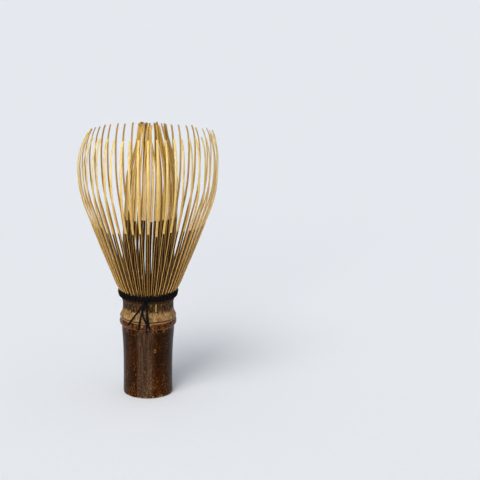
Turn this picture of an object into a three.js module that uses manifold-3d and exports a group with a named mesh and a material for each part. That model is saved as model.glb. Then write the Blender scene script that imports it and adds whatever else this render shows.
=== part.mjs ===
// A bamboo tea whisk. One culm of dark bamboo makes the handle and every tine: below the node
// it stays a hollow tube, and above it the wall is split into staves and then into tines.
// Every second tine bends out into the cage, the others stand in a bunch at its centre, and a
// black thread woven round the roots holds the two rings apart.
// Millimetres, +Z up. The origin is the centre of the handle's flat foot, and -Y is the side
// that carries the thread's knot.

import * as THREE from "three";
import { mergeVertices } from "three/addons/utils/BufferGeometryUtils.js";
import Module from "manifold-3d";

// Handle.
const FOOT_RADIUS = 10.9;
const FOOT_CHAMFER = 0.4;
const BORE_RADIUS = 7.6;
const SHAFT_TOP_Z = 31.2;
const NODE_RADIUS = 12.4;
const GROOVE_Z = 34.9;
const GROOVE_RADIUS = 11.9;
const WAIST_Z = 40.2;
const WAIST_RADIUS = 11.1;
const RIM_Z = 43.8;
const RIM_RADIUS = 11.75;
const RIM_INNER_RADIUS = 9.7;
const DIAPHRAGM_LOW_Z = 31.6;
const DIAPHRAGM_HIGH_Z = 34.0;
const CUP_FLOOR_RADIUS = 8.4;
const HANDLE_SIDES = 36;

// Tines. Widths run round the whisk and thicknesses run towards its axis.
const TINES_PER_RING = 48;
const PITCH = (2 * Math.PI) / TINES_PER_RING;
const INNER_GROUPS = 8;
const TINES_PER_GROUP = TINES_PER_RING / INNER_GROUPS;
const ROOT_Z = 44.1;
const INNER_ROOT_RADIUS = 10.55;
const OUTER_TIP_Z = 116.5;
const INNER_TIP_Z = 120;
const CAGE_RADIUS = 30;
const CAGE_WIDEST_Z = 102;
const OUTER_TINE = { rootWidth: 0.9, tipWidth: 0.7, rootThickness: 0.55, tipThickness: 0.28 };
const INNER_TINE = { rootWidth: 0.9, tipWidth: 0.5, rootThickness: 0.45, tipThickness: 0.25 };
const ROOT_ARC_HEIGHT = 0.7;
const ROOT_ARC_INSET = 0.08;

// Thread.
const THREAD_COURSES = 3;
const COURSE_STEPS = 2;
const BAND_LOW_Z = 44.25;
const BAND_HIGH_Z = 46.85;
const COURSE_BULGE = 0.1;
const FRONT_BAND = { lowRadius: 12.0, highRadius: 12.6, thickness: 0.32 };
const BACK_BAND = { lowRadius: 10.75, highRadius: 11.1, thickness: 0.2 };
const BAND_SIDES = 48;
const STRAND_RADIUS = 0.25;
const STRAND_SIDES = 6;
const STRAND_STEPS = 5;
const TAIL_RADIUS = 13.0;
const KNOT_AZIMUTH = -3.6;
const KNOT_Z = 45.2;
const KNOT_RADIUS = 13.75;
const KNOT_HALF_SIZE = [1.1, 0.6, 1.3];

// Where each hanging tail ends: degrees round from the front, and height.
const TAIL_ENDS = [
  [-42, 33.6],
  [-18.4, 31.9],
  [-5.2, 30.8],
  [2.9, 32.1],
];

const wasm = await Module();
wasm.setup();

const DARK_BAMBOO = { color: 0x3c2413, roughness: 0.35, metalness: 0 };
const TINE_BAMBOO = { color: 0xc9a35d, roughness: 0.55, metalness: 0 };
const BLACK_THREAD = { color: 0x101014, roughness: 0.9, metalness: 0 };

function namedMesh(name, geometry, finish) {
  const mesh = new THREE.Mesh(geometry, new THREE.MeshStandardMaterial(finish));
  mesh.name = name;
  return mesh;
}

function vectors(pairs) {
  return pairs.map(([r, z]) => new THREE.Vector2(r, z));
}

// A closed geometry as a solid that can be joined to others.
function solidOf(geometry) {
  const bare = geometry.clone();
  bare.deleteAttribute("normal");
  bare.deleteAttribute("uv");
  const merged = mergeVertices(bare, 1e-4);
  const triVerts = new Uint32Array(merged.index.array);
  const vertProperties = merged.attributes.position.array;
  return new wasm.Manifold(new wasm.Mesh({ numProp: 3, vertProperties, triVerts }));
}

function joined(geometries) {
  const whole = geometries.map(solidOf).reduce((sum, next) => sum.add(next));
  const { vertProperties, triVerts } = whole.getMesh();
  const geometry = new THREE.BufferGeometry();
  geometry.setAttribute("position", new THREE.BufferAttribute(vertProperties, 3));
  geometry.setIndex(new THREE.BufferAttribute(triVerts, 1));
  geometry.computeVertexNormals();
  return geometry;
}

// Revolves an outline of [radius, height] pairs, drawn with the material on its left.
function revolved(outline, sides) {
  return new THREE.LatheGeometry(vectors(outline), sides).rotateX(Math.PI / 2);
}

// The handle: a bore open at the foot, the node's diaphragm, and a shallow cup above it.
function handleGeometry() {
  const shaft = new THREE.SplineCurve(
    vectors([
      [FOOT_RADIUS, FOOT_CHAMFER],
      [FOOT_RADIUS - 0.12, 9],
      [FOOT_RADIUS - 0.05, 17],
      [FOOT_RADIUS + 0.2, 24],
      [FOOT_RADIUS + 0.5, 28],
      [NODE_RADIUS - 0.9, SHAFT_TOP_Z],
    ]),
  );
  const neck = new THREE.SplineCurve(
    vectors([
      [NODE_RADIUS - 0.05, GROOVE_Z + 0.6],
      [WAIST_RADIUS + 0.7, GROOVE_Z + 1.8],
      [WAIST_RADIUS + 0.12, GROOVE_Z + 3.3],
      [WAIST_RADIUS, WAIST_Z],
      [RIM_RADIUS, RIM_Z],
    ]),
  );
  const outline = [
    [0, DIAPHRAGM_LOW_Z],
    [BORE_RADIUS - 0.8, DIAPHRAGM_LOW_Z],
    [BORE_RADIUS, DIAPHRAGM_LOW_Z - 1.2],
    [BORE_RADIUS, 0],
    [FOOT_RADIUS - FOOT_CHAMFER, 0],
    ...shaft.getPoints(8).map((p) => [p.x, p.y]),
    [NODE_RADIUS - 0.25, SHAFT_TOP_Z + 0.7],
    [NODE_RADIUS, SHAFT_TOP_Z + 1.6],
    [NODE_RADIUS - 0.1, GROOVE_Z - 0.9],
    [GROOVE_RADIUS, GROOVE_Z],
    ...neck.getPoints(6).map((p) => [p.x, p.y]),
    [RIM_INNER_RADIUS, RIM_Z],
    [CUP_FLOOR_RADIUS, DIAPHRAGM_HIGH_Z + 1.5],
    [CUP_FLOOR_RADIUS - 1.2, DIAPHRAGM_HIGH_Z],
    [0, DIAPHRAGM_HIGH_Z],
  ];
  return revolved(outline, HANDLE_SIDES);
}

// The outer face of an outer tine: straight out of the thread, widest high up, then leaning
// in a little to the tip.
const OUTER_FACE = vectors([
  [RIM_RADIUS, ROOT_Z],
  [RIM_RADIUS + 0.7, 46.8],
  [14.3, 50.4],
  [16.6, 56.2],
  [20.3, 65.3],
  [24.6, 76.4],
  [27.7, 85.1],
  [CAGE_RADIUS - 0.55, 93],
  [CAGE_RADIUS, CAGE_WIDEST_Z],
  [CAGE_RADIUS - 0.2, 107.5],
  [CAGE_RADIUS - 0.8, 111.5],
  [CAGE_RADIUS - 1.6, 114.3],
  [CAGE_RADIUS - 2.6, OUTER_TIP_Z],
]);

// The outer face of an inner tine: nearly upright, then leaning in to its neighbours.
const INNER_FACE = vectors([
  [INNER_ROOT_RADIUS, ROOT_Z],
  [INNER_ROOT_RADIUS + 0.05, 47],
  [11, 56],
  [11.3, 68],
  [11.4, 82],
  [11.2, 94],
  [10.3, 104],
  [9, 112],
  [7.2, INNER_TIP_Z],
]);

// A tine standing in the XZ plane: its side view is extruded to a unit width, and the width
// then tapers from the root to the tip.
function tineGeometry(face, size) {
  const last = face.length - 1;
  const curve = new THREE.SplineCurve(face);
  const back = face.map((point, i) => {
    const tangent = curve.getTangent(i / last);
    const share = (point.y - ROOT_Z) / (face[last].y - ROOT_Z);
    const thickness = THREE.MathUtils.lerp(size.rootThickness, size.tipThickness, share);
    return new THREE.Vector2(point.x - tangent.y * thickness, point.y + tangent.x * thickness);
  });
  back[0].y = ROOT_Z;
  const sideView = new THREE.Shape([...face, ...back.reverse()]);
  const geometry = new THREE.ExtrudeGeometry(sideView, { depth: 1, steps: 1, bevelEnabled: false });
  const at = geometry.attributes.position;
  for (let i = 0; i < at.count; i += 1) {
    const share = (at.getY(i) - ROOT_Z) / (face[last].y - ROOT_Z);
    const width = THREE.MathUtils.lerp(size.rootWidth, size.tipWidth, share);
    at.setZ(i, (at.getZ(i) - 0.5) * width);
  }
  return geometry.rotateX(Math.PI / 2);
}

// The uncut foot of two neighbouring staves, which joins the inner tines split from them.
function rootArcGeometry(angle) {
  const outer = INNER_FACE[0].x - ROOT_ARC_INSET;
  const inner = INNER_FACE[0].x - INNER_TINE.rootThickness + ROOT_ARC_INSET;
  const half = angle / 2;
  const arc = new THREE.Shape();
  arc.absarc(0, 0, outer, -half, half, false);
  arc.absarc(0, 0, inner, half, -half, true);
  const depth = ROOT_ARC_HEIGHT;
  const geometry = new THREE.ExtrudeGeometry(arc, { depth, bevelEnabled: false, curveSegments: 6 });
  return geometry.translate(0, 0, ROOT_Z + ROOT_ARC_INSET);
}

function innerGroupGeometry() {
  const single = tineGeometry(INNER_FACE, INNER_TINE);
  const tines = Array.from({ length: TINES_PER_GROUP }, (_, i) =>
    single.clone().rotateZ((i - (TINES_PER_GROUP - 1) / 2) * PITCH),
  );
  return joined([rootArcGeometry((TINES_PER_GROUP - 1) * PITCH), ...tines]);
}

// A ring of thread courses lying one above the other, on a wall that runs from the low to the
// high radius.
function threadBandGeometry({ lowRadius, highRadius, thickness }) {
  const steps = THREAD_COURSES * COURSE_STEPS;
  const front = Array.from({ length: steps + 1 }, (_, i) => {
    const share = i / steps;
    const radius = THREE.MathUtils.lerp(lowRadius, highRadius, share) + thickness;
    const bulge = COURSE_BULGE * Math.abs(Math.sin((Math.PI * i) / COURSE_STEPS));
    return [radius + bulge, THREE.MathUtils.lerp(BAND_LOW_Z, BAND_HIGH_Z, share)];
  });
  const outline = [[lowRadius, BAND_LOW_Z], ...front, [highRadius, BAND_HIGH_Z]];
  return revolved([...outline, outline[0]], BAND_SIDES);
}

// A point at an azimuth measured in degrees round from the front.
function aroundFront(azimuth, radius, z) {
  const angle = THREE.MathUtils.degToRad(azimuth - 90);
  return new THREE.Vector3(radius * Math.cos(angle), radius * Math.sin(angle), z);
}

// A cut end of the thread, from inside the knot down over the waist and the node.
function tailGeometry([azimuth, endZ]) {
  const shares = [0.2, 0.5, 1];
  const route = shares.map((share) =>
    aroundFront(
      THREE.MathUtils.lerp(KNOT_AZIMUTH, azimuth, share),
      TAIL_RADIUS,
      THREE.MathUtils.lerp(KNOT_Z, endZ, share),
    ),
  );
  const start = aroundFront(KNOT_AZIMUTH, KNOT_RADIUS, KNOT_Z);
  const section = new THREE.Shape();
  section.absarc(0, 0, STRAND_RADIUS, 0, 2 * Math.PI);
  return new THREE.ExtrudeGeometry(section, {
    extrudePath: new THREE.CatmullRomCurve3([start, ...route]),
    steps: STRAND_STEPS,
    curveSegments: STRAND_SIDES / 2,
  });
}

function knotGeometry() {
  const at = aroundFront(KNOT_AZIMUTH, KNOT_RADIUS, KNOT_Z);
  const lump = new THREE.SphereGeometry(1, 10, 6).scale(...KNOT_HALF_SIZE);
  return joined([lump.translate(at.x, at.y, at.z), ...TAIL_ENDS.map(tailGeometry)]);
}

const whisk = new THREE.Group();
whisk.add(namedMesh("handle", handleGeometry(), DARK_BAMBOO));

whisk.add(namedMesh("thread_front_weave", threadBandGeometry(FRONT_BAND), BLACK_THREAD));
whisk.add(namedMesh("thread_back_weave", threadBandGeometry(BACK_BAND), BLACK_THREAD));
whisk.add(namedMesh("thread_knot", knotGeometry(), BLACK_THREAD));

const outerTine = tineGeometry(OUTER_FACE, OUTER_TINE);
for (let i = 0; i < TINES_PER_RING; i += 1) {
  const name = `outer_tine_${String(i + 1).padStart(2, "0")}`;
  const tine = namedMesh(name, outerTine, TINE_BAMBOO);
  tine.rotation.z = i * PITCH;
  whisk.add(tine);
}

const innerGroup = innerGroupGeometry();
for (let i = 0; i < INNER_GROUPS; i += 1) {
  const tines = namedMesh(`inner_tines_${i + 1}`, innerGroup, TINE_BAMBOO);
  tines.rotation.z = (i + 0.5) * TINES_PER_GROUP * PITCH;
  whisk.add(tines);
}

export default whisk;
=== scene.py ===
import math
import random

import bpy
from mathutils import Matrix, Vector, noise


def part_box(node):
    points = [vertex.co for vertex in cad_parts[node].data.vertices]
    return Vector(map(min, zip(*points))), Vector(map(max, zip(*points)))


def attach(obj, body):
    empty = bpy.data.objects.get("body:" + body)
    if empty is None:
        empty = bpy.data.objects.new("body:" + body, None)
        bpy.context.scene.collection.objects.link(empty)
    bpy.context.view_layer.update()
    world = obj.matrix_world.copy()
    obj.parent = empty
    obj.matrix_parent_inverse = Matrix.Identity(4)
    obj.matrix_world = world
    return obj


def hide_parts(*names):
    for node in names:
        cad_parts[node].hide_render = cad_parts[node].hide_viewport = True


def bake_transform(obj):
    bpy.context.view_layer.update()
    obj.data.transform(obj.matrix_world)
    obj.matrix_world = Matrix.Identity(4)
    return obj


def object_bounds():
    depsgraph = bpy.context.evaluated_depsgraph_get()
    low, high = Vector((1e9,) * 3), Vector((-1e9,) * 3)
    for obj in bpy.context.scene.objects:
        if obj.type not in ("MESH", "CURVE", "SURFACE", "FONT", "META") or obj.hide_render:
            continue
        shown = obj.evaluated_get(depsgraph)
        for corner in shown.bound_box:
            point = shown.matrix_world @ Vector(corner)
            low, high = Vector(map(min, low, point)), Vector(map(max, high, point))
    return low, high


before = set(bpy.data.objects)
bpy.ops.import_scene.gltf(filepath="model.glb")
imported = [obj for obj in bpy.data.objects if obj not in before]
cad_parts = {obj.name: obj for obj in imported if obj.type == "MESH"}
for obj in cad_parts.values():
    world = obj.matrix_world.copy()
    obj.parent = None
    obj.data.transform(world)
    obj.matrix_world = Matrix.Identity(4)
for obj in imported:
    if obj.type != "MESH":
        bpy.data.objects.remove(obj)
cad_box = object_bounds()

# Everything below is written in millimetres and turned into metres where a mesh is made.
MM = 0.001
TINES = 48
TINES_IN_GROUP = 6
PITCH = math.tau / TINES
FRONT = -math.pi / 2

# Heights and radii of the whisk, as the frame has them.
HEIGHT = cad_box[1].z / MM
CAGE_RADIUS = cad_box[1].x / MM
FOOT_RADIUS = 10.9
BORE_RADIUS = 7.6
NODE_RADIUS = 12.4
GROOVE_Z = 34.9
WAIST_RADIUS = 11.1
SPLIT_Z = 43.0
SPLIT_RADIUS = 11.5
THREAD_LOW_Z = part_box("thread_front_weave")[0].z / MM
THREAD_HIGH_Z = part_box("thread_front_weave")[1].z / MM
OUTER_SKIN_Z = 77.2
INNER_SKIN_Z = 80.0


# ---------------------------------------------------------------- camera

CAMERA_DISTANCE = 509.8
CAMERA_HEIGHT = 185.8
CAMERA_PITCH = 0.2245
CAMERA_YAW = 0.0783
CAMERA_ROLL = 0.0183
CAMERA_LENS = 90


def make_camera():
    """Looks down at the whisk from the front, with the whisk left of the middle."""
    data = bpy.data.cameras.new("camera")
    data.lens = CAMERA_LENS
    data.clip_start = 0.01
    data.clip_end = 50
    camera = bpy.data.objects.new("camera", data)
    bpy.context.scene.collection.objects.link(camera)
    flat_right = Vector((math.cos(CAMERA_YAW), -math.sin(CAMERA_YAW), 0))
    flat_ahead = Vector((math.sin(CAMERA_YAW), math.cos(CAMERA_YAW), 0))
    up = Vector((0, 0, 1))
    ahead = flat_ahead * math.cos(CAMERA_PITCH) - up * math.sin(CAMERA_PITCH)
    above = flat_ahead * math.sin(CAMERA_PITCH) + up * math.cos(CAMERA_PITCH)
    right = flat_right * math.cos(CAMERA_ROLL) + above * math.sin(CAMERA_ROLL)
    top = above * math.cos(CAMERA_ROLL) - flat_right * math.sin(CAMERA_ROLL)
    turn = Matrix((right, top, -ahead)).transposed().to_4x4()
    place = Vector((0, -CAMERA_DISTANCE, CAMERA_HEIGHT)) * MM
    camera.matrix_world = Matrix.Translation(place) @ turn
    bpy.context.scene.camera = camera


make_camera()


# ---------------------------------------------------------------- materials


def srgb(r, g, b):
    """A colour given as it looks on a screen, 0 to 255, as the linear colour a shader takes."""
    def linear(value):
        share = value / 255
        return share / 12.92 if share <= 0.04045 else ((share + 0.055) / 1.055) ** 2.4
    return (linear(r), linear(g), linear(b), 1.0)


class Nodes:
    """A material's node tree, with short ways to add the nodes used here."""

    def __init__(self, name):
        self.material = bpy.data.materials.new(name)
        self.material.use_nodes = True
        self.tree = self.material.node_tree
        self.shader = self.tree.nodes["Principled BSDF"]
        self.object = self.add("ShaderNodeTexCoord").outputs["Object"]

    def add(self, kind, **settings):
        node = self.tree.nodes.new(kind)
        for key, value in settings.items():
            setattr(node, key, value)
        return node

    def put(self, value, socket):
        if isinstance(value, bpy.types.NodeSocket):
            self.tree.links.new(value, socket)
        else:
            socket.default_value = value

    def math(self, operation, a, b=0.0, c=0.0):
        node = self.add("ShaderNodeMath", operation=operation)
        for value, socket in zip((a, b, c), node.inputs):
            self.put(value, socket)
        return node.outputs[0]

    def product(self, first, *others):
        for other in others:
            first = self.math("MULTIPLY", first, other)
        return first

    def either_way(self, pattern, amount):
        """A pattern from 0 to 1 as a shift of up to half the amount each way."""
        return self.product(self.math("SUBTRACT", pattern, 0.5), amount)

    def axes(self):
        """The point's x, y and z, in metres."""
        split = self.add("ShaderNodeSeparateXYZ")
        self.put(self.object, split.inputs[0])
        return split.outputs

    def azimuth(self):
        """Radians round the axis from the front, positive towards +X."""
        x, y, _ = self.axes()
        return self.math("ARCTAN2", x, self.product(y, -1.0))

    def stretched(self, across, along):
        """The object's coordinates scaled for a pattern that runs along the bamboo."""
        node = self.add("ShaderNodeMapping")
        self.put(self.object, node.inputs["Vector"])
        node.inputs["Scale"].default_value = (across, across, along)
        return node.outputs[0]

    def noise(self, vector, scale=1.0, detail=3.0, roughness=0.55):
        node = self.add("ShaderNodeTexNoise")
        self.put(vector, node.inputs["Vector"])
        node.inputs["Scale"].default_value = scale
        node.inputs["Detail"].default_value = detail
        node.inputs["Roughness"].default_value = roughness
        return node.outputs["Fac"]

    def grain(self, across, along, detail=4):
        """Fibres along the bamboo, from 0 to 1, about half of them dark and half light."""
        fibres = self.noise(self.stretched(across, along), detail=detail)
        return self.step(fibres, 0.32, 0.68)

    def cells(self, vector):
        """The distance to the nearest of points scattered one to each unit of space."""
        node = self.add("ShaderNodeTexVoronoi")
        self.put(vector, node.inputs["Vector"])
        node.inputs["Scale"].default_value = 1.0
        return node.outputs["Distance"]

    def step(self, value, low, high, to_low=0.0, to_high=1.0):
        """Runs smoothly from to_low to to_high while value goes from low to high."""
        node = self.add("ShaderNodeMapRange", interpolation_type="SMOOTHSTEP")
        for item, socket in zip((value, low, high, to_low, to_high), node.inputs):
            self.put(item, socket)
        return node.outputs[0]

    def window(self, value, rise, fall):
        """1 where value lies between the two spans, 0 beyond them, and smooth within each."""
        return self.product(self.step(value, *rise), self.step(value, *fall, 1.0, 0.0))

    def mix(self, share, a, b):
        node = self.add("ShaderNodeMix", data_type="RGBA")
        self.put(share, node.inputs[0])
        self.put(a, node.inputs[6])
        self.put(b, node.inputs[7])
        return node.outputs[2]

    def attribute(self, name):
        return self.add("ShaderNodeAttribute", attribute_name=name).outputs["Fac"]

    def bump(self, height, distance, strength=1.0):
        node = self.add("ShaderNodeBump")
        node.inputs["Strength"].default_value = strength
        node.inputs["Distance"].default_value = distance
        self.put(height, node.inputs["Height"])
        self.put(node.outputs[0], self.shader.inputs["Normal"])

    def finish(self, colour, roughness, **fixed):
        self.put(colour, self.shader.inputs["Base Color"])
        self.put(roughness, self.shader.inputs["Roughness"])
        for name, value in fixed.items():
            self.shader.inputs[name.replace("_", " ")].default_value = value
        return self.material


# The tint of light mirrored in smoked bamboo's skin.
WARM_GLOSS = (1.0, 0.56, 0.28, 1.0)


def bamboo_flesh(name, low, middle, high, pith_shade_low, pith_shade_high):
    """Split and shaved bamboo with fine long fibres, and painted shade that makes it browner on its
    pith side. Each colour is a dark and a light one, which the fibres mix."""
    n = Nodes(name)
    _, _, z = n.axes()
    fibres = n.grain(5200, 130)
    streaks = n.noise(n.stretched(1400, 45), detail=2)

    def fibrous(colours):
        return n.mix(fibres, srgb(*colours[0]), srgb(*colours[1]))

    # The colours by height are partly the wood's own and partly painted light and shade: the cage is
    # painted paler near its top, where light from above falls on it.
    colour = n.mix(n.step(z, 0.050, 0.080), fibrous(low), fibrous(middle))
    colour = n.mix(n.step(z, 0.086, 0.108), colour, fibrous(high))
    # Painted shade: a darker, browner copy of the flesh colours on each tine's pith side.
    pith = n.mix(n.step(z, 0.050, 0.084), fibrous(pith_shade_low), fibrous(pith_shade_high))
    colour = n.mix(n.attribute("pith"), colour, pith)
    colour = n.mix(n.step(streaks, 0.52, 0.72, 0.0, 0.35), colour, srgb(160, 116, 44))
    flecks = n.noise(n.stretched(2600, 420), detail=1)
    colour = n.mix(n.step(flecks, 0.70, 0.76, 0.0, 0.6), colour, srgb(104, 68, 32))
    tone = n.attribute("tone")
    colour = n.mix(n.step(tone, 0.0, 1.0, 0.28, 0.0), colour, srgb(150, 110, 42))
    n.bump(fibres, 0.00004)
    return n.finish(colour, n.step(fibres, 0.0, 1.0, 0.48, 0.36), Specular_IOR_Level=0.35)


def outer_flesh():
    """The cage: tan near the root, pale yellow where it was shaved thin, and paler still towards its
    top as painted light from above.
    """
    return bamboo_flesh(
        "outer_flesh",
        low=((210, 152, 66), (248, 200, 110)),
        middle=((204, 162, 76), (238, 200, 112)),
        high=((220, 186, 98), (250, 224, 142)),
        pith_shade_low=((90, 52, 14), (132, 86, 30)),
        pith_shade_high=((150, 104, 24), (188, 138, 46)),
    )


def inner_flesh():
    """The bunch at the centre, browner than the cage, partly as painted shade inside the cage, and
    brownest at its tips.
    """
    return bamboo_flesh(
        "inner_flesh",
        low=((154, 106, 42), (194, 146, 70)),
        middle=((192, 150, 72), (230, 192, 108)),
        high=((180, 136, 38), (222, 178, 72)),
        pith_shade_low=((78, 48, 14), (116, 78, 28)),
        pith_shade_high=((154, 110, 24), (196, 146, 46)),
    )


def tine_skin():
    """The dark bark left on the outer face of each tine below its shaved part."""
    n = Nodes("tine_skin")
    _, _, z = n.axes()
    grain = n.noise(n.stretched(2600, 240), detail=5, roughness=0.7)
    colour = n.mix(n.step(grain, 0.35, 0.68), srgb(15, 4, 1), srgb(54, 22, 5))
    worn = n.noise(n.stretched(1500, 600), detail=3, roughness=0.7)
    colour = n.mix(n.step(worn, 0.60, 0.70, 0.0, 0.7), colour, srgb(142, 96, 40))
    colour = n.mix(n.step(z, 0.044, 0.058, 0.25, 0.0), colour, srgb(84, 56, 28))
    n.bump(grain, 0.00005)
    roughness = n.step(grain, 0.3, 0.7, 0.36, 0.52)
    return n.finish(colour, roughness, Specular_IOR_Level=0.1, Specular_Tint=WARM_GLOSS)


class HandleBark(Nodes):
    """The patterns of the handle's skin, and the layers of colour that are laid on with them."""

    def __init__(self):
        super().__init__("handle_bark")
        self.z = self.axes()[2]
        self.round_front = self.azimuth()
        self.clouds = self.noise(self.stretched(260, 70), detail=4, roughness=0.6)
        self.streaks = self.noise(self.stretched(1500, 36), detail=3)
        self.specks = self.noise(self.object, scale=1750, detail=3, roughness=0.6)
        self.knobs = self.noise(self.stretched(1100, 800), detail=4, roughness=0.65)
        # The height with a slight wave in it, for the lines that run round the node.
        self.level = self.math("ADD", self.z, self.either_way(self.clouds, 0.0008))
        # A band up the front with a painted sheen, a lighter and greyer brown that stands for the
        # reflection of the light in front, with a sharp edge and a soft one.
        sheen_edge = self.math("ADD", self.round_front, self.either_way(self.streaks, 0.12))
        self.band = self.window(sheen_edge, (-0.47, -0.43), (0.10, 0.30))

    def line(self, height, half_width):
        """A thin line round the handle."""
        away = self.math("ABSOLUTE", self.math("SUBTRACT", self.level, height))
        return self.step(away, half_width * 0.5, half_width, 1.0, 0.0)

    def patch(self, azimuth, half_turn, low, high):
        """A small upright patch."""
        beside = self.math("ABSOLUTE", self.math("SUBTRACT", self.round_front, azimuth))
        inside = self.step(beside, half_turn * 0.6, half_turn, 1.0, 0.0)
        edge = 0.0003
        return self.product(inside, self.window(self.level, (low, low + edge), (high - edge, high)))

    def shaft(self):
        """Dark brown with lighter streaks, and a duller, greyer painted sheen in the band up the
        front.
        """
        colour = self.mix(self.step(self.clouds, 0.36, 0.66), srgb(18, 5, 0), srgb(46, 18, 1))
        streaked = self.step(self.streaks, 0.48, 0.70, 0.0, 0.45)
        colour = self.mix(streaked, colour, srgb(62, 32, 6))
        # Painted sheen: a lighter, greyer brown in the band, standing for a reflection.
        painted_sheen = self.mix(self.step(self.streaks, 0.35, 0.65), srgb(46, 30, 21), srgb(78, 57, 44))
        return self.mix(self.product(self.band, 0.8), colour, painted_sheen)

    def speckles(self, colour):
        """Golden speckles, thickest near the foot, and fine pale scratches up the shaft."""
        near_foot = self.step(self.z, 0.000, 0.030, 1.0, 0.0)
        patches = self.noise(self.stretched(330, 110), detail=2)
        edge = self.math("SUBTRACT", 0.63, self.product(near_foot, 0.075))
        edge = self.math("SUBTRACT", edge, self.either_way(patches, 0.16))
        self.speck = self.step(self.math("SUBTRACT", self.specks, edge), 0.0, 0.05)
        # Painted reflection: inside the sheen band the speckles are greyer.
        speck_colour = self.mix(self.band, srgb(146, 86, 22), srgb(132, 100, 68))
        colour = self.mix(self.product(self.speck, 0.55), colour, speck_colour)
        scratches = self.noise(self.stretched(3600, 22), detail=1)
        return self.mix(self.step(scratches, 0.70, 0.78, 0.0, 0.5), colour, srgb(112, 84, 60))

    def node(self, colour):
        """The node: a red-brown ridge between two thin pale lines, the lower one a painted highlight
        along the ridge's lower edge, with drips below it.
        """
        self.ridge = self.window(self.z, (0.0312, 0.0318), (0.0342, 0.0347))
        knobbly = self.step(self.knobs, 0.38, 0.62)
        ridge_colour = self.mix(knobbly, srgb(30, 11, 3), srgb(112, 62, 24))
        glints = self.product(self.step(self.knobs, 0.56, 0.66), self.band)
        ridge_colour = self.mix(glints, ridge_colour, srgb(148, 118, 100))
        colour = self.mix(self.ridge, colour, ridge_colour)
        upper_line = self.product(self.line(0.03452, 0.00026), 0.85)
        colour = self.mix(upper_line, colour, srgb(158, 122, 84))
        # Painted highlight: a thin pale line along the ridge's lower edge.
        lower_edge_highlight = self.product(self.line(0.03150, 0.00022), 0.55)
        colour = self.mix(lower_edge_highlight, colour, srgb(150, 116, 86))
        below_ridge = self.window(self.z, (0.0285, 0.0312), (0.0311, 0.0313))
        drips = self.step(self.noise(self.stretched(900, 240), detail=3), 0.52, 0.68)
        return self.mix(self.product(drips, below_ridge, 0.7), colour, srgb(150, 98, 52))

    def collar(self, colour):
        """Above the node: a band peeled to tan, the torn edge of the bark, and the dark waist."""
        teeth = self.noise(self.stretched(1900, 130), detail=4, roughness=0.75)
        torn = self.either_way(teeth, 0.0068)
        torn = self.math("ADD", torn, self.either_way(self.clouds, 0.0036))
        under_tear = self.step(self.math("ADD", self.z, torn), 0.0389, 0.0392, 1.0, 0.0)
        self.peeled = self.product(under_tear, self.step(self.level, 0.0349, 0.0353))
        tan = self.mix(self.grain(1900, 160), srgb(104, 74, 38), srgb(170, 136, 90))
        stains = self.noise(self.object, scale=420, detail=4, roughness=0.65)
        tan = self.mix(self.step(stains, 0.45, 0.66, 0.0, 0.65), tan, srgb(88, 58, 28))
        tan = self.mix(self.step(stains, 0.34, 0.46, 0.5, 0.0), tan, srgb(196, 164, 120))
        colour = self.mix(self.peeled, colour, tan)
        over_tear = self.math("SUBTRACT", 1.0, under_tear)
        self.waist = self.product(over_tear, self.step(self.z, 0.0370, 0.0378))
        grain = self.noise(self.stretched(1700, 480), detail=4, roughness=0.7)
        waist_colour = self.mix(self.step(grain, 0.42, 0.62), srgb(20, 9, 2), srgb(88, 62, 36))
        colour = self.mix(self.waist, colour, waist_colour)
        # Painted shade: a thin dark line along the groove.
        return self.mix(self.line(0.0350, 0.00026), colour, srgb(30, 14, 7))

    def cracks(self, colour):
        """The cracks that run down from the split into tines."""
        splits = self.noise(self.stretched(1700, 60), detail=2, roughness=0.6)
        reaches = self.noise(self.stretched(700, 10), detail=1)
        reach = self.step(reaches, 0.3, 0.7, 0.0432, 0.0412)
        above = self.math("GREATER_THAN", self.z, reach)
        self.crack = self.product(self.step(splits, 0.56, 0.64), above)
        return self.mix(self.product(self.crack, 0.65), colour, srgb(150, 122, 84))

    def marks(self, colour):
        """A sliver of missing bark on the waist, a scar on the shaft, and chips at the foot."""
        sliver = self.patch(0.305, 0.030, 0.0394, 0.0440)
        colour = self.mix(self.product(sliver, 0.9), colour, srgb(178, 148, 96))
        scar = self.patch(0.285, 0.040, 0.0208, 0.0226)
        scar = self.product(scar, self.step(self.specks, 0.35, 0.6))
        colour = self.mix(scar, colour, srgb(150, 104, 52))
        chips = self.noise(self.object, scale=900, detail=3)
        chip_z = self.step(chips, 0.52, 0.66, 0.0001, 0.0013)
        return self.mix(self.math("LESS_THAN", self.z, chip_z), colour, srgb(158, 126, 84))

    def roughness(self):
        """Glossy skin, duller at the speckles and matt where it is peeled or worn."""
        gloss = self.step(self.clouds, 0.3, 0.7, 0.28, 0.36)
        gloss = self.math("ADD", gloss, self.product(self.speck, 0.12))
        matt = self.math("MAXIMUM", self.peeled, self.product(self.waist, 0.8))
        return self.math("ADD", gloss, self.product(matt, 0.3))

    def relief(self):
        """Raised streaks, speckles and knobs, and sunken cracks."""
        height = self.math("ADD", self.product(self.streaks, 0.6), self.product(self.speck, 0.25))
        height = self.math("ADD", height, self.product(self.knobs, self.ridge, 1.4))
        return self.math("SUBTRACT", height, self.product(self.crack, 1.2))


def handle_bark():
    """The handle's own skin: glossy dark brown, a red-brown node, and a peeled tan band."""
    n = HandleBark()
    colour = n.speckles(n.shaft())
    colour = n.collar(n.node(colour))
    colour = n.marks(n.cracks(colour))
    n.bump(n.relief(), 0.00009)
    return n.finish(colour, n.roughness(), Specular_IOR_Level=0.1, Specular_Tint=WARM_GLOSS)


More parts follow.
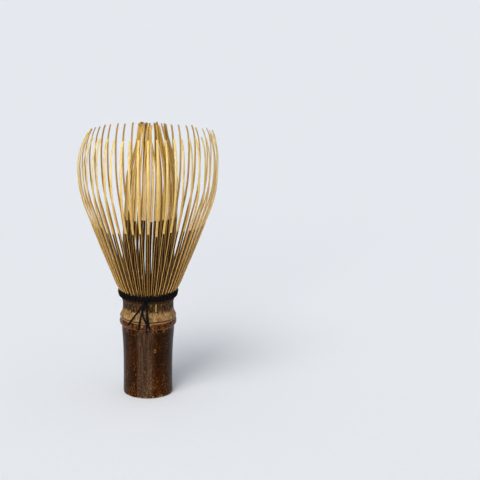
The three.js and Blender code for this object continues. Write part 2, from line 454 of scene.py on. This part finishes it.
def cut_bamboo():
    """Sawn and scraped bamboo: the foot, the bore and the cup, with the ends of its fibres."""
    n = Nodes("cut_bamboo")
    x, y, _ = n.axes()
    radius = n.math("SQRT", n.math("ADD", n.product(x, x), n.product(y, y)))
    grain = n.noise(n.stretched(2400, 200), detail=4)
    colour = n.mix(grain, srgb(158, 122, 76), srgb(206, 172, 118))
    bundles = n.cells(n.stretched(2100, 60))
    crowd = n.step(radius, 0.0075, 0.0108, 0.22, 0.52)
    dot = n.step(n.math("SUBTRACT", bundles, crowd), -0.06, 0.0, 1.0, 0.0)
    colour = n.mix(n.product(dot, 0.75), colour, srgb(96, 62, 34))
    colour = n.mix(n.step(radius, 0.0100, 0.0106), colour, srgb(84, 50, 26))
    n.bump(n.math("ADD", grain, n.product(dot, -0.5)), 0.0001)
    return n.finish(colour, 0.72, Specular_IOR_Level=0.3)


def black_thread():
    """Dull black cotton: soft light along the raised fibres, near black in the hollows."""
    n = Nodes("black_thread")
    fibres = n.noise(n.object, scale=5200, detail=4, roughness=0.7)
    colour = n.mix(fibres, srgb(1, 1, 1), srgb(15, 13, 13))
    n.bump(fibres, 0.00003)
    return n.finish(colour, n.step(fibres, 0.3, 0.7, 0.5, 0.65), Specular_IOR_Level=0.045)


MATERIALS = {
    "outer_flesh": outer_flesh(),
    "inner_flesh": inner_flesh(),
    "skin": tine_skin(),
    "bark": handle_bark(),
    "cut": cut_bamboo(),
    "thread": black_thread(),
}


# ---------------------------------------------------------------- mesh code


class Mesh:
    """Collects rings of points in millimetres and skins them into one object. A point's tone is
    its tine's own shade, and its pith is how near the pith it lies, by which the flesh materials
    paint shade on the pith side. The materials read both."""

    def __init__(self, *materials):
        self.materials = materials
        self.points = []
        self.faces = []
        self.slots = []
        self.tones = []
        self.pith_shades = []

    def ring(self, points, tone=0.5, pith_shades=None):
        first = len(self.points)
        self.points.extend(points)
        self.tones.extend([tone] * len(points))
        self.pith_shades.extend(pith_shades or [0.0] * len(points))
        return list(range(first, first + len(points)))

    def face(self, corners, slot=0):
        self.faces.append(corners)
        self.slots.append(slot)

    def bridge(self, low, high, slot_of=lambda corner: 0):
        """Joins two rings that run anticlockwise seen from the far end of the sweep."""
        count = len(low)
        for i in range(count):
            j = (i + 1) % count
            self.face((low[i], low[j], high[j], high[i]), slot_of(i))

    def build(self, name, body, nodes, smooth_angle=35):
        """Makes the object. With no body given, it is not attached to any body."""
        mesh = bpy.data.meshes.new(name)
        mesh.from_pydata([Vector(p) * MM for p in self.points], [], self.faces)
        for material in self.materials:
            mesh.materials.append(MATERIALS[material])
        mesh.polygons.foreach_set("material_index", self.slots)
        for attribute, values in (("tone", self.tones), ("pith", self.pith_shades)):
            mesh.attributes.new(attribute, "FLOAT", "POINT").data.foreach_set("value", values)
        mesh.shade_smooth()
        mesh.set_sharp_from_angle(angle=math.radians(smooth_angle))
        piece = bpy.data.objects.new(name, mesh)
        bpy.context.scene.collection.objects.link(piece)
        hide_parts(*nodes)
        if body:
            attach(piece, body)
        return piece


def catmull(points, share):
    """The point at a share, from 0 to 1, of the way along a smooth line through the points.
    It is a Catmull-Rom spline, with each end point doubled."""
    spans = len(points) - 1
    place = min(share * spans, spans - 1e-9)
    i = int(place)
    t = place - i
    four = points[max(i - 1, 0)], points[i], points[i + 1], points[min(i + 2, spans)]

    def along(p, q, r, s):
        square = 2 * p - 5 * q + 4 * r - s
        cube = 3 * q - p - 3 * r + s
        return 0.5 * (2 * q + (r - p) * t + square * t * t + cube * t**3)

    return tuple(along(*axis) for axis in zip(*four))


def resampled(points, count):
    """Points spaced evenly along the smooth line through the given ones."""
    parts = 600
    fine = [Vector(catmull(points, i / parts)) for i in range(parts + 1)]
    travelled = [0.0]
    for a, b in zip(fine, fine[1:]):
        travelled.append(travelled[-1] + (b - a).length)
    found = []
    j = 0
    for i in range(count):
        goal = travelled[-1] * i / (count - 1)
        while j < parts - 1 and travelled[j + 1] < goal:
            j += 1
        span = travelled[j + 1] - travelled[j]
        share = (goal - travelled[j]) / span if span else 0
        found.append(fine[j].lerp(fine[j + 1], min(max(share, 0), 1)))
    return found


def eased(value, low, high):
    """0 up to low, 1 from high on, and a smooth rise between them."""
    share = min(max((value - low) / (high - low), 0), 1)
    return share * share * (3 - 2 * share)


def lerp(a, b, share):
    return a + (b - a) * share


def polar(radius, azimuth, z):
    return Vector((radius * math.cos(azimuth), radius * math.sin(azimuth), z))


# ---------------------------------------------------------------- tines

OUTER_FACE = [
    (SPLIT_RADIUS, SPLIT_Z),
    (11.8, 44.3),
    (12.45, 46.8),
    (14.3, 50.4),
    (16.6, 56.2),
    (20.3, 65.3),
    (24.75, OUTER_SKIN_Z),
    (27.7, 85.1),
    (CAGE_RADIUS - 0.55, 93),
    (CAGE_RADIUS, 102),
    (CAGE_RADIUS - 0.2, 107.5),
    (CAGE_RADIUS - 0.8, 111.5),
    (CAGE_RADIUS - 1.6, 114.3),
    (CAGE_RADIUS - 2.6, 116.5),
]
INNER_FACE = [
    (SPLIT_RADIUS, SPLIT_Z),
    (11.1, 44.3),
    (10.62, 46.2),
    (10.7, 49.5),
    (11.1, 56),
    (11.35, 68),
    (11.4, INNER_SKIN_Z),
    (11.2, 94),
    (10.3, 104),
    (9, 112),
    (7.2, HEIGHT),
]
TINE_STEPS = 56

# How deep the shaving cut below the bark, how much of a tine's outer corners is pared away, and how
# far its outer face bulges.
SKIN_STEP = 0.13
OUTER_EDGE_CUT = 0.12
INNER_EDGE_CUT = 0.04
CROWN = 0.05

# How far each corner of a tine's section is from the bark side, 0, to the pith side, 1, which is how
# much painted shade the corner takes.
OUTER_PITH_SHADES = [0.0, 0.0, 0.0, 0.0, 0.8, 1.0, 1.0, 0.8, 0.0]
INNER_PITH_SHADES = [0.0, 0.0, 0.0, 0.5, 0.8, 1.0, 1.0, 0.8, 0.5]


def section(width, depth, edge):
    """A tine's cross-section as (sideways, inward) pairs. The outer corners are pared away."""
    half = width / 2
    flank = half * 0.97
    back = half * 0.86
    round_off = 0.08
    return [
        (-half + edge, 0),
        (0, -CROWN),
        (half - edge, 0),
        (half, edge * 0.8),
        (flank, depth - round_off),
        (back, depth),
        (-back, depth),
        (-flank, depth - round_off),
        (-half, edge * 0.8),
    ]


def add_tine(mesh, spine, sides, sizes, skin_z, tone, edge_cut, pith_shades, pith_shade_at):
    """Sweeps the cross-section up the outer face's line. Bark covers all of it inside the thread,
    and its outer face from there up to skin_z."""
    rings, barked = [], []
    last = len(spine) - 1
    for i, point in enumerate(spine):
        ahead = (spine[min(i + 1, last)] - spine[max(i - 1, 0)]).normalized()
        side = (sides[i] - ahead * sides[i].dot(ahead)).normalized()
        inward = side.cross(ahead).normalized() * -1
        width, depth = sizes(i / last)
        bark = point.z < skin_z
        pared = 0 if bark else SKIN_STEP
        outline = section(width, depth - pared, edge_cut * (1 if bark else 0.8))
        start = point + inward * (pared + CROWN)
        # Each corner's share of the painted shade on the pith side.
        faded_pith_shades = [pith * pith_shade_at(point.z) for pith in pith_shades]
        rings.append(mesh.ring([start + side * u + inward * v for u, v in outline], tone, faded_pith_shades))
        barked.append(bark)
    for i in range(last):
        covered = 0
        if barked[i + 1]:
            covered = len(pith_shades) if spine[i].z < THREAD_LOW_Z + 1 else 2
        mesh.bridge(rings[i], rings[i + 1], lambda corner: int(corner < covered))
    mesh.face(tuple(reversed(rings[0])))
    mesh.face(tuple(rings[-1]))


def tine_line(face, skin_z, place):
    """The outer face's line in space, closely spaced where the bark ends."""
    line = resampled(face, TINE_STEPS)
    nearest = min(range(len(line)), key=lambda i: abs(line[i].y - skin_z))
    below = Vector((line[nearest].x, line[nearest].y))
    slope = (line[nearest + 1] - line[nearest - 1]).normalized()
    shift = (skin_z - below.y) / slope.y
    edge = below + slope * shift
    half_step = 0.12
    line[nearest] = edge - slope * half_step
    line.insert(nearest + 1, edge + slope * half_step)
    return [place(point.x, point.y) for point in line]


def scraped(z):
    """How much painted shade the pith side of an outer tine takes at a height: full low down, and
    less towards the top.
    """
    return lerp(1, 0.6, eased(z, 62, 88))


def outer_tine(number, rng):
    """One tine of the cage. Those on the left curl in more, and dip where they are in front."""
    azimuth = number * PITCH
    drift = math.radians(rng.gauss(0, 0.5))
    wander = math.radians(rng.gauss(0, 0.25))
    phase = rng.uniform(0, math.tau)
    lean = rng.gauss(0, 0.25)
    to_left = max(-math.cos(azimuth), 0)
    curl = 2.3 * to_left**6 + rng.gauss(0, 0.3)
    dip = 3.8 * to_left**3 * max(-math.sin(azimuth), 0)
    twist = math.radians(rng.gauss(0, 6))
    skin_z = OUTER_SKIN_Z + rng.gauss(0, 0.25)
    stretch = rng.gauss(0, 0.003)
    broad = rng.gauss(1, 0.04)
    tone = rng.random()

    def place(radius, z):
        up = (z - SPLIT_Z) / (HEIGHT - SPLIT_Z)
        waver = wander * math.sin(phase + 5 * up) * eased(up, 0.1, 0.5)
        turn = drift * eased(up, 0, 1) + waver
        out = radius + lean * eased(up, 0.2, 0.8) - curl * eased(z, 100, 120)
        height = SPLIT_Z + (z - SPLIT_Z) * (1 + stretch) - dip * eased(z, 98, 120)
        return polar(min(out, CAGE_RADIUS + 0.5), azimuth + turn, height)

    spine = tine_line(OUTER_FACE, skin_z, place)
    sides = []
    for i, point in enumerate(spine):
        here = math.atan2(point.y, point.x) + twist * (i / len(spine)) ** 2
        sides.append(Vector((-math.sin(here), math.cos(here), 0)))

    def sizes(share):
        width = lerp(0.98, 0.96, share) * broad * lerp(1, 0.92, eased(share, 0.88, 1))
        depth = lerp(0.66, 0.5, eased(share, 0, 0.4)) - 0.14 * eased(share, 0.5, 1)
        return width, depth

    mesh = Mesh("outer_flesh", "skin")
    add_tine(mesh, spine, sides, sizes, skin_z, tone, OUTER_EDGE_CUT, OUTER_PITH_SHADES, scraped)
    name = f"outer_tine_{number + 1:02d}"
    piece = mesh.build(f"{name}_bamboo", None, [name])
    bend(piece)


def bend(piece):
    """Bakes a tine's placement into its mesh."""
    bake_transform(piece)


# How far the bunch stands to the right of the axis from its middle up.
BUNCH_SHIFT = 1.3


def clump_x(x):
    """Where a tine of the round bunch ends up when its top is gathered into two clumps."""
    if x < 0:
        return lerp(-3.8, 0.6, max(1 + x / 7, 0) ** 1.2)
    return lerp(1.0, 7.2, x / 7)


def inner_tine(mesh, number, rng):
    """One tine of the bunch at the centre."""
    azimuth = (number + 0.5) * PITCH
    phase = rng.uniform(0, math.tau)
    sway = rng.gauss(0, 0.3)
    sag = rng.gauss(0, 0.35)
    crossing = rng.gauss(0, 0.9)
    depth_share = rng.uniform(0.6, 0.95)
    skin_z = INNER_SKIN_Z + rng.gauss(0, 0.35)
    drop = abs(rng.gauss(0, 0.8))
    broad = rng.gauss(1, 0.06)
    tone = rng.random() * 0.8

    def place(radius, z):
        up = (z - SPLIT_Z) / (HEIGHT - SPLIT_Z)
        flat = polar(radius + sag * eased(up, 0.1, 0.6), azimuth, 0)
        bunch = eased(z, 60, 96)
        top = eased(z, 94, 122)
        x = flat.x + BUNCH_SHIFT * bunch
        x = lerp(x, clump_x(flat.x), top**1.3)
        y = flat.y * lerp(1, depth_share, top)
        across = Vector((-math.sin(azimuth), math.cos(azimuth), 0))
        shift = sway * math.sin(phase + 4 * up) * eased(up, 0.15, 0.5) + crossing * top**2
        height = SPLIT_Z + (z - SPLIT_Z) * (1 - drop / (HEIGHT - SPLIT_Z))
        return Vector((x, y, height)) + across * shift

    spine = tine_line(INNER_FACE, skin_z, place)
    sides = [Vector((-math.sin(azimuth), math.cos(azimuth), 0))] * len(spine)

    def sizes(share):
        width = lerp(0.96, 0.76, eased(share, 0.42, 0.86)) * broad
        depth = lerp(0.5, 0.28, eased(share, 0, 0.7))
        return width, depth

    add_tine(mesh, spine, sides, sizes, skin_z, tone, INNER_EDGE_CUT, INNER_PITH_SHADES, lambda z: 1.0)


def make_tines():
    rng = random.Random(11)
    for number in range(TINES):
        outer_tine(number, rng)
    rng = random.Random(29)
    for group in range(TINES // TINES_IN_GROUP):
        mesh = Mesh("inner_flesh", "skin")
        for place in range(TINES_IN_GROUP):
            inner_tine(mesh, TINES_IN_GROUP * group + place, rng)
        name = f"inner_tines_{group + 1}"
        piece = mesh.build(f"{name}_bamboo", None, [name])
        bend(piece)


# ---------------------------------------------------------------- handle

HANDLE_SIDES = 240


def shaft_outline():
    """The outer wall from the foot's edge up to the split, as (radius, height) pairs."""
    edge = [(FOOT_RADIUS - 0.42, 0), (FOOT_RADIUS - 0.16, 0.12), (FOOT_RADIUS - 0.04, 0.36)]
    shaft = [
        (FOOT_RADIUS, 0.7),
        (FOOT_RADIUS - 0.12, 9),
        (FOOT_RADIUS - 0.05, 17),
        (FOOT_RADIUS + 0.2, 24),
        (FOOT_RADIUS + 0.5, 28),
        (NODE_RADIUS - 0.93, 30.9),
    ]
    ridge = [
        (NODE_RADIUS - 0.88, 31.2),
        (NODE_RADIUS - 0.70, 31.38),
        (NODE_RADIUS - 0.40, 31.6),
        (NODE_RADIUS - 0.14, 32.0),
        (NODE_RADIUS + 0.02, 32.6),
        (NODE_RADIUS + 0.04, 33.2),
        (NODE_RADIUS - 0.04, 33.8),
        (NODE_RADIUS - 0.20, 34.25),
    ]
    groove = [
        (NODE_RADIUS - 0.34, GROOVE_Z - 0.42),
        (NODE_RADIUS - 0.40, GROOVE_Z - 0.25),
        (NODE_RADIUS - 0.60, GROOVE_Z - 0.08),
        (NODE_RADIUS - 0.60, GROOVE_Z + 0.08),
        (NODE_RADIUS - 0.28, GROOVE_Z + 0.25),
    ]
    neck = [
        (NODE_RADIUS - 0.12, GROOVE_Z + 0.5),
        (NODE_RADIUS - 0.10, GROOVE_Z + 0.8),
        (WAIST_RADIUS + 0.92, 36.4),
        (WAIST_RADIUS + 0.42, 37.3),
        (WAIST_RADIUS + 0.13, 38.3),
        (WAIST_RADIUS + 0.01, 39.8),
        (WAIST_RADIUS + 0.03, 41.6),
        (SPLIT_RADIUS, SPLIT_Z - 0.04),
    ]
    return [*edge, *resampled(shaft, 44), *ridge, *groove, *resampled(neck, 30)]


def cup_outline():
    """From the split down the cup and along the top of the diaphragm."""
    return [
        (SPLIT_RADIUS - 1.5, SPLIT_Z - 0.04),
        (SPLIT_RADIUS - 1.9, SPLIT_Z - 1.0),
        (9.0, 38),
        (8.5, 35.8),
        (7.6, 34.3),
        (5.5, 34.0),
        (2.5, 34.15),
        (0.6, 34.2),
    ]


def bore_outline():
    """Along the underside of the diaphragm and down the bore to the foot."""
    return [
        (0.6, 31.5),
        (3.0, 31.6),
        (6.2, 31.4),
        (7.3, 30.6),
        (BORE_RADIUS, 29),
        (BORE_RADIUS - 0.1, 15),
        (BORE_RADIUS, 0.35),
        (BORE_RADIUS + 0.15, 0),
    ]


def rough(radius, z, azimuth, outside):
    """The culm's slight waviness, more at the node, and grain scraped into the inside."""

    def waviness(size, across, along):
        around = Vector((math.cos(azimuth) * across, math.sin(azimuth) * across, z * along))
        return size * noise.noise(around)

    wave = waviness(0.10, 1.3, 0.039) + waviness(0.035, 5, 0.08)
    if not outside:
        return radius + 0.6 * wave + waviness(0.04, 14, 0.2)
    near_node = math.exp(-(((z - 33.5) / 2.2) ** 2))
    knobs = waviness(0.11, 7, 0.5) * near_node
    fluting = waviness(0.012, 26, 0.05)
    return radius + wave * eased(z, 0, 4) + knobs + fluting


def make_handle():
    """One closed skin: the outer wall, the cup above the diaphragm, and the bore below it."""
    mesh = Mesh("bark", "cut")
    azimuths = [math.tau * i / HANDLE_SIDES for i in range(HANDLE_SIDES)]

    def rings_of(outline, outside):
        rings = []
        for radius, z in outline:
            # The ridge and the groove run slightly up and down on their way round.
            lift = 0.12 if 31 < z < 36 and outside else 0
            points = []
            for azimuth in azimuths:
                turn = Vector((math.cos(azimuth) * 1.5, math.sin(azimuth) * 1.5, 3))
                height = z + lift * noise.noise(turn)
                points.append(polar(rough(radius, z, azimuth, outside), azimuth, height))
            rings.append(mesh.ring(points))
        return rings

    outer = rings_of(shaft_outline(), True)
    cup = rings_of(cup_outline(), False)
    bore = rings_of(bore_outline(), False)
    for low, high in zip(outer, outer[1:]):
        mesh.bridge(low, high)
    inner = [outer[-1], *cup]
    for low, high in zip(inner, inner[1:]):
        mesh.bridge(low, high, lambda corner: 1)
    mesh.face(tuple(cup[-1]), 1)
    mesh.face(tuple(reversed(bore[0])), 1)
    under = [*bore, outer[0]]
    for low, high in zip(under, under[1:]):
        mesh.bridge(low, high, lambda corner: 1)
    mesh.build("handle_culm", "handle", ["handle"], smooth_angle=50)


# ---------------------------------------------------------------- thread

# The strand and its plies, then the weave, the knot and the hanging ends.
STRAND_RADIUS = 0.29
PLIES = 3
PLY_DEPTH = 0.14
PLY_PITCH = 1.5
STRAND_CORNERS = 12
FRONT_COURSES = 5
BACK_COURSES = 3
STITCH_RADIUS = 0.33
KNOT_AZIMUTH = FRONT + math.radians(-3.6)
KNOT_RADIUS = 13.45
KNOT_Z = 45.0
TAIL_RADIUS = 0.38


def add_strand(mesh, points, radius=STRAND_RADIUS, closed=False, corners=STRAND_CORNERS, taper=0.0):
    """A twisted strand along the points, with its plies as ridges that wind round it."""
    count = len(points)
    ahead = []
    for i in range(count):
        after = points[(i + 1) % count] if closed else points[min(i + 1, count - 1)]
        before = points[i - 1] if closed or i else points[0]
        ahead.append((after - before).normalized())
    side = ahead[0].orthogonal().normalized()
    frames = []
    for direction in ahead:
        side = (side - direction * side.dot(direction)).normalized()
        frames.append((side, direction.cross(side)))
    gap = 0.0
    if closed:
        end = (side - ahead[0] * side.dot(ahead[0])).normalized()
        gap = math.atan2(end.dot(frames[0][1]), end.dot(frames[0][0]))
    length = sum((b - a).length for a, b in zip(points, points[1:]))
    turns = round(length / PLY_PITCH) if closed else length / PLY_PITCH
    rings = []
    for i, (point, (across, over)) in enumerate(zip(points, frames)):
        share = i / count
        ring = []
        for corner in range(corners):
            angle = math.tau * corner / corners
            ridge = 1 + PLY_DEPTH * math.cos(PLIES * angle - math.tau * turns * share)
            size = radius * ridge * (1 - taper * share)
            turned = angle - gap * share
            ring.append(point + across * (math.cos(turned) * size) + over * (math.sin(turned) * size))
        rings.append(mesh.ring(ring))
    for low, high in zip(rings, rings[1:]):
        mesh.bridge(low, high)
    if closed:
        mesh.bridge(rings[-1], rings[0])
    else:
        mesh.face(tuple(reversed(rings[0])))
        mesh.face(tuple(rings[-1]))


def course(base_radius, z, dip, lift, wobble_seed, samples=960):
    """One round of thread that bulges over every outer tine and dips between them."""
    points = []
    for i in range(samples):
        azimuth = math.tau * i / samples
        between = (1 - math.cos(azimuth / PITCH * math.tau)) / 2
        loose = noise.noise(Vector((math.cos(azimuth) * 4, math.sin(azimuth) * 4, wobble_seed)))
        radius = base_radius - dip * between + 0.05 * loose
        points.append(polar(radius, azimuth, z + lift * between + 0.07 * loose))
    return points


def stitch(azimuth, low, high, slant):
    """The thread's short upright turn in the gap between two tines, tucked in at its top."""
    path = [
        (12.0, low - 0.2),
        (12.5, low + 0.25),
        (12.7, 45.6),
        (12.85, high),
        (12.5, high + 0.9),
        (11.8, high + 1.6),
        (11.2, high + 1.8),
    ]
    points = []
    for i in range(25):
        radius, z = catmull(path, i / 24)
        points.append(polar(radius, azimuth + slant * (i / 24 - 0.5), z))
    return points


def make_weave():
    front = Mesh("thread")
    back = Mesh("thread")
    low, high = THREAD_LOW_Z + STRAND_RADIUS, THREAD_HIGH_Z - STRAND_RADIUS
    for i in range(FRONT_COURSES):
        share = i / (FRONT_COURSES - 1)
        radius = lerp(11.85, 12.4, share) + STRAND_RADIUS
        lift = 0.4 if share == 1 else 0.06
        add_strand(front, course(radius, lerp(low, high - 0.45, share), 0.42, lift, i))
    rng = random.Random(17)
    for gap in range(TINES):
        azimuth = (gap + 0.5) * PITCH + math.radians(rng.gauss(0, 0.5))
        slant = rng.gauss(0.04, 0.02)
        top = high + rng.uniform(-0.45, 0.1)
        add_strand(front, stitch(azimuth, low, top, slant), STITCH_RADIUS)
    for i in range(BACK_COURSES):
        share = i / (BACK_COURSES - 1)
        z = lerp(low + 0.3, high - 0.1, share)
        add_strand(back, course(lerp(11.0, 11.45, share), z, -0.22, 0.1, 20 + i, 480))
    front.build("thread_front_courses", "handle", ["thread_front_weave"], 80)
    back.build("thread_back_courses", "handle", ["thread_back_weave"], 80)


def knot_point(angle):
    """A point on a simple overhand knot, flat against the weave."""
    sideways = math.sin(angle) + 2 * math.sin(2 * angle)
    upright = math.cos(angle) - 2 * math.cos(2 * angle)
    outward = -math.sin(3 * angle)
    azimuth = KNOT_AZIMUTH + 0.40 * sideways / KNOT_RADIUS
    return polar(KNOT_RADIUS + 0.34 * outward, azimuth, KNOT_Z + 0.46 * upright)


# Each hanging end from left to right: degrees round from the front where it starts and ends, the
# height it ends at, how far it swings sideways on the way, and how many loose fibres its tip has.
TAILS = [
    (-6.0, -41.9, 33.6, 1.0, 0),
    (-6.5, -18.4, 31.9, -1.5, 7),
    (-5.5, -2.4, 34.4, -6.5, 0),
    (-3.0, -3.4, 30.7, 0.6, 5),
    (-2.0, 3.0, 32.0, -1.6, 8),
]


def hanging_end(index, start, end, end_z, swing):
    """The line of one loose end from the knot down over the waist and the node."""
    points = []
    for i in range(61):
        share = i / 60
        z = lerp(44.6 - 0.25 * index, end_z, share)
        azimuth = lerp(start, end, share) + swing * math.sin(math.pi * share)
        hang = lerp(13.25, 12.86, eased(share, 0, 0.5)) + 0.05 * math.sin(9 * share + index)
        points.append(polar(hang + 0.10 * (index % 2), FRONT + math.radians(azimuth), z))
    return points


def add_fibre(mesh, tip, ahead, rng):
    """One loose fibre that sticks out of a strand's tip."""
    spread = Vector((rng.gauss(0, 0.5), rng.gauss(0, 0.15), rng.gauss(0, 0.2)))
    curl = Vector((rng.gauss(0, 0.2), rng.gauss(0, 0.05), 0))
    reach = rng.uniform(0.5, 1.1)
    root = tip - ahead * 0.15
    fibre = []
    for i in range(7):
        share = i / 6
        fibre.append(root + (ahead + spread * share) * (reach * share) + curl * share**2)
    add_strand(mesh, fibre, 0.055, corners=5, taper=0.5)


def make_knot():
    mesh = Mesh("thread")
    add_strand(mesh, [knot_point(math.tau * i / 160) for i in range(160)], 0.25, closed=True)
    rng = random.Random(5)
    for index, (start, end, end_z, swing, fibres) in enumerate(TAILS):
        points = hanging_end(index, start, end, end_z, swing)
        add_strand(mesh, points, TAIL_RADIUS)
        tip = points[-1]
        ahead = (tip - points[-6]).normalized()
        for _ in range(fibres):
            add_fibre(mesh, tip, ahead, rng)
    mesh.build("thread_knot_ends", "handle", ["thread_knot"], 80)


# ---------------------------------------------------------------- studio


def make_floor():
    """A plain pale sheet, matt so that it mirrors nothing."""
    mesh = bpy.data.meshes.new("floor")
    half = 30.0
    corners = [(-half, -half, 0), (half, -half, 0), (half, half, 0), (-half, half, 0)]
    mesh.from_pydata(corners, [], [(0, 1, 2, 3)])
    n = Nodes("floor_paper")
    fine = n.noise(n.object, scale=420, detail=3)
    colour = n.mix(fine, srgb(238, 241, 246), srgb(242, 245, 250))
    mesh.materials.append(n.finish(colour, 1.0, Specular_IOR_Level=0.0))
    floor = bpy.data.objects.new("floor", mesh)
    bpy.context.scene.collection.objects.link(floor)


def add_lamp(name, data, azimuth, elevation, distance=0):
    """Puts a lamp in the scene, facing the middle of the whisk. Azimuth 0 is the front."""
    lamp = bpy.data.objects.new(name, data)
    bpy.context.scene.collection.objects.link(lamp)
    a, e = math.radians(azimuth), math.radians(elevation)
    away = Vector((math.sin(a) * math.cos(e), -math.cos(a) * math.cos(e), math.sin(e)))
    lamp.location = Vector((0, 0, HEIGHT * MM * 0.5)) + away * distance
    lamp.rotation_mode = "QUATERNION"
    lamp.rotation_quaternion = (-away).to_track_quat("-Z", "Y")
    return lamp


def make_sun(name, azimuth, elevation, spread, strength, colour):
    """Even light from far away. Its spread, in degrees, softens the shadows."""
    data = bpy.data.lights.new(name, "SUN")
    data.angle = math.radians(spread)
    data.energy = strength
    data.color = colour
    add_lamp(name, data, azimuth, elevation)


def make_gloss_panel():
    """A long low panel in front that shows only as a sheen on the glossy bark."""
    data = bpy.data.lights.new("gloss_panel", "AREA")
    data.shape = "RECTANGLE"
    data.size = 2.2
    data.size_y = 0.25
    data.energy = 45.0
    data.color = (0.98, 0.99, 1.0)
    lamp = add_lamp("gloss_panel", data, -16, 2, 1.5)
    lamp.visible_camera = False
    lamp.visible_diffuse = False


def make_world():
    """An even pale room, brighter towards the horizon, where it meets the floor."""
    world = bpy.data.worlds.new("studio")
    world.use_nodes = True
    nodes, links = world.node_tree.nodes, world.node_tree.links
    split = nodes.new("ShaderNodeSeparateXYZ")
    strength = nodes.new("ShaderNodeMapRange")
    strength.inputs["From Min"].default_value = 0.02
    strength.inputs["From Max"].default_value = 0.16
    strength.inputs["To Min"].default_value = 0.79
    strength.inputs["To Max"].default_value = 0.48
    links.new(nodes.new("ShaderNodeTexCoord").outputs["Generated"], split.inputs[0])
    links.new(split.outputs["Z"], strength.inputs["Value"])
    links.new(strength.outputs[0], nodes["Background"].inputs["Strength"])
    nodes["Background"].inputs["Color"].default_value = (0.93, 0.96, 1.0, 1.0)
    return world


def make_studio():
    scene = bpy.context.scene
    scene.view_settings.view_transform = "Standard"
    scene.world = make_world()
    make_floor()
    make_sun("key_sun", -30, 52, 30, 1.5, (1.0, 0.98, 0.95))
    make_sun("front_fill", -16, 12, 28, 1.13, (1.0, 0.99, 0.97))
    make_gloss_panel()


make_handle()
make_tines()
make_weave()
make_knot()
make_studio()
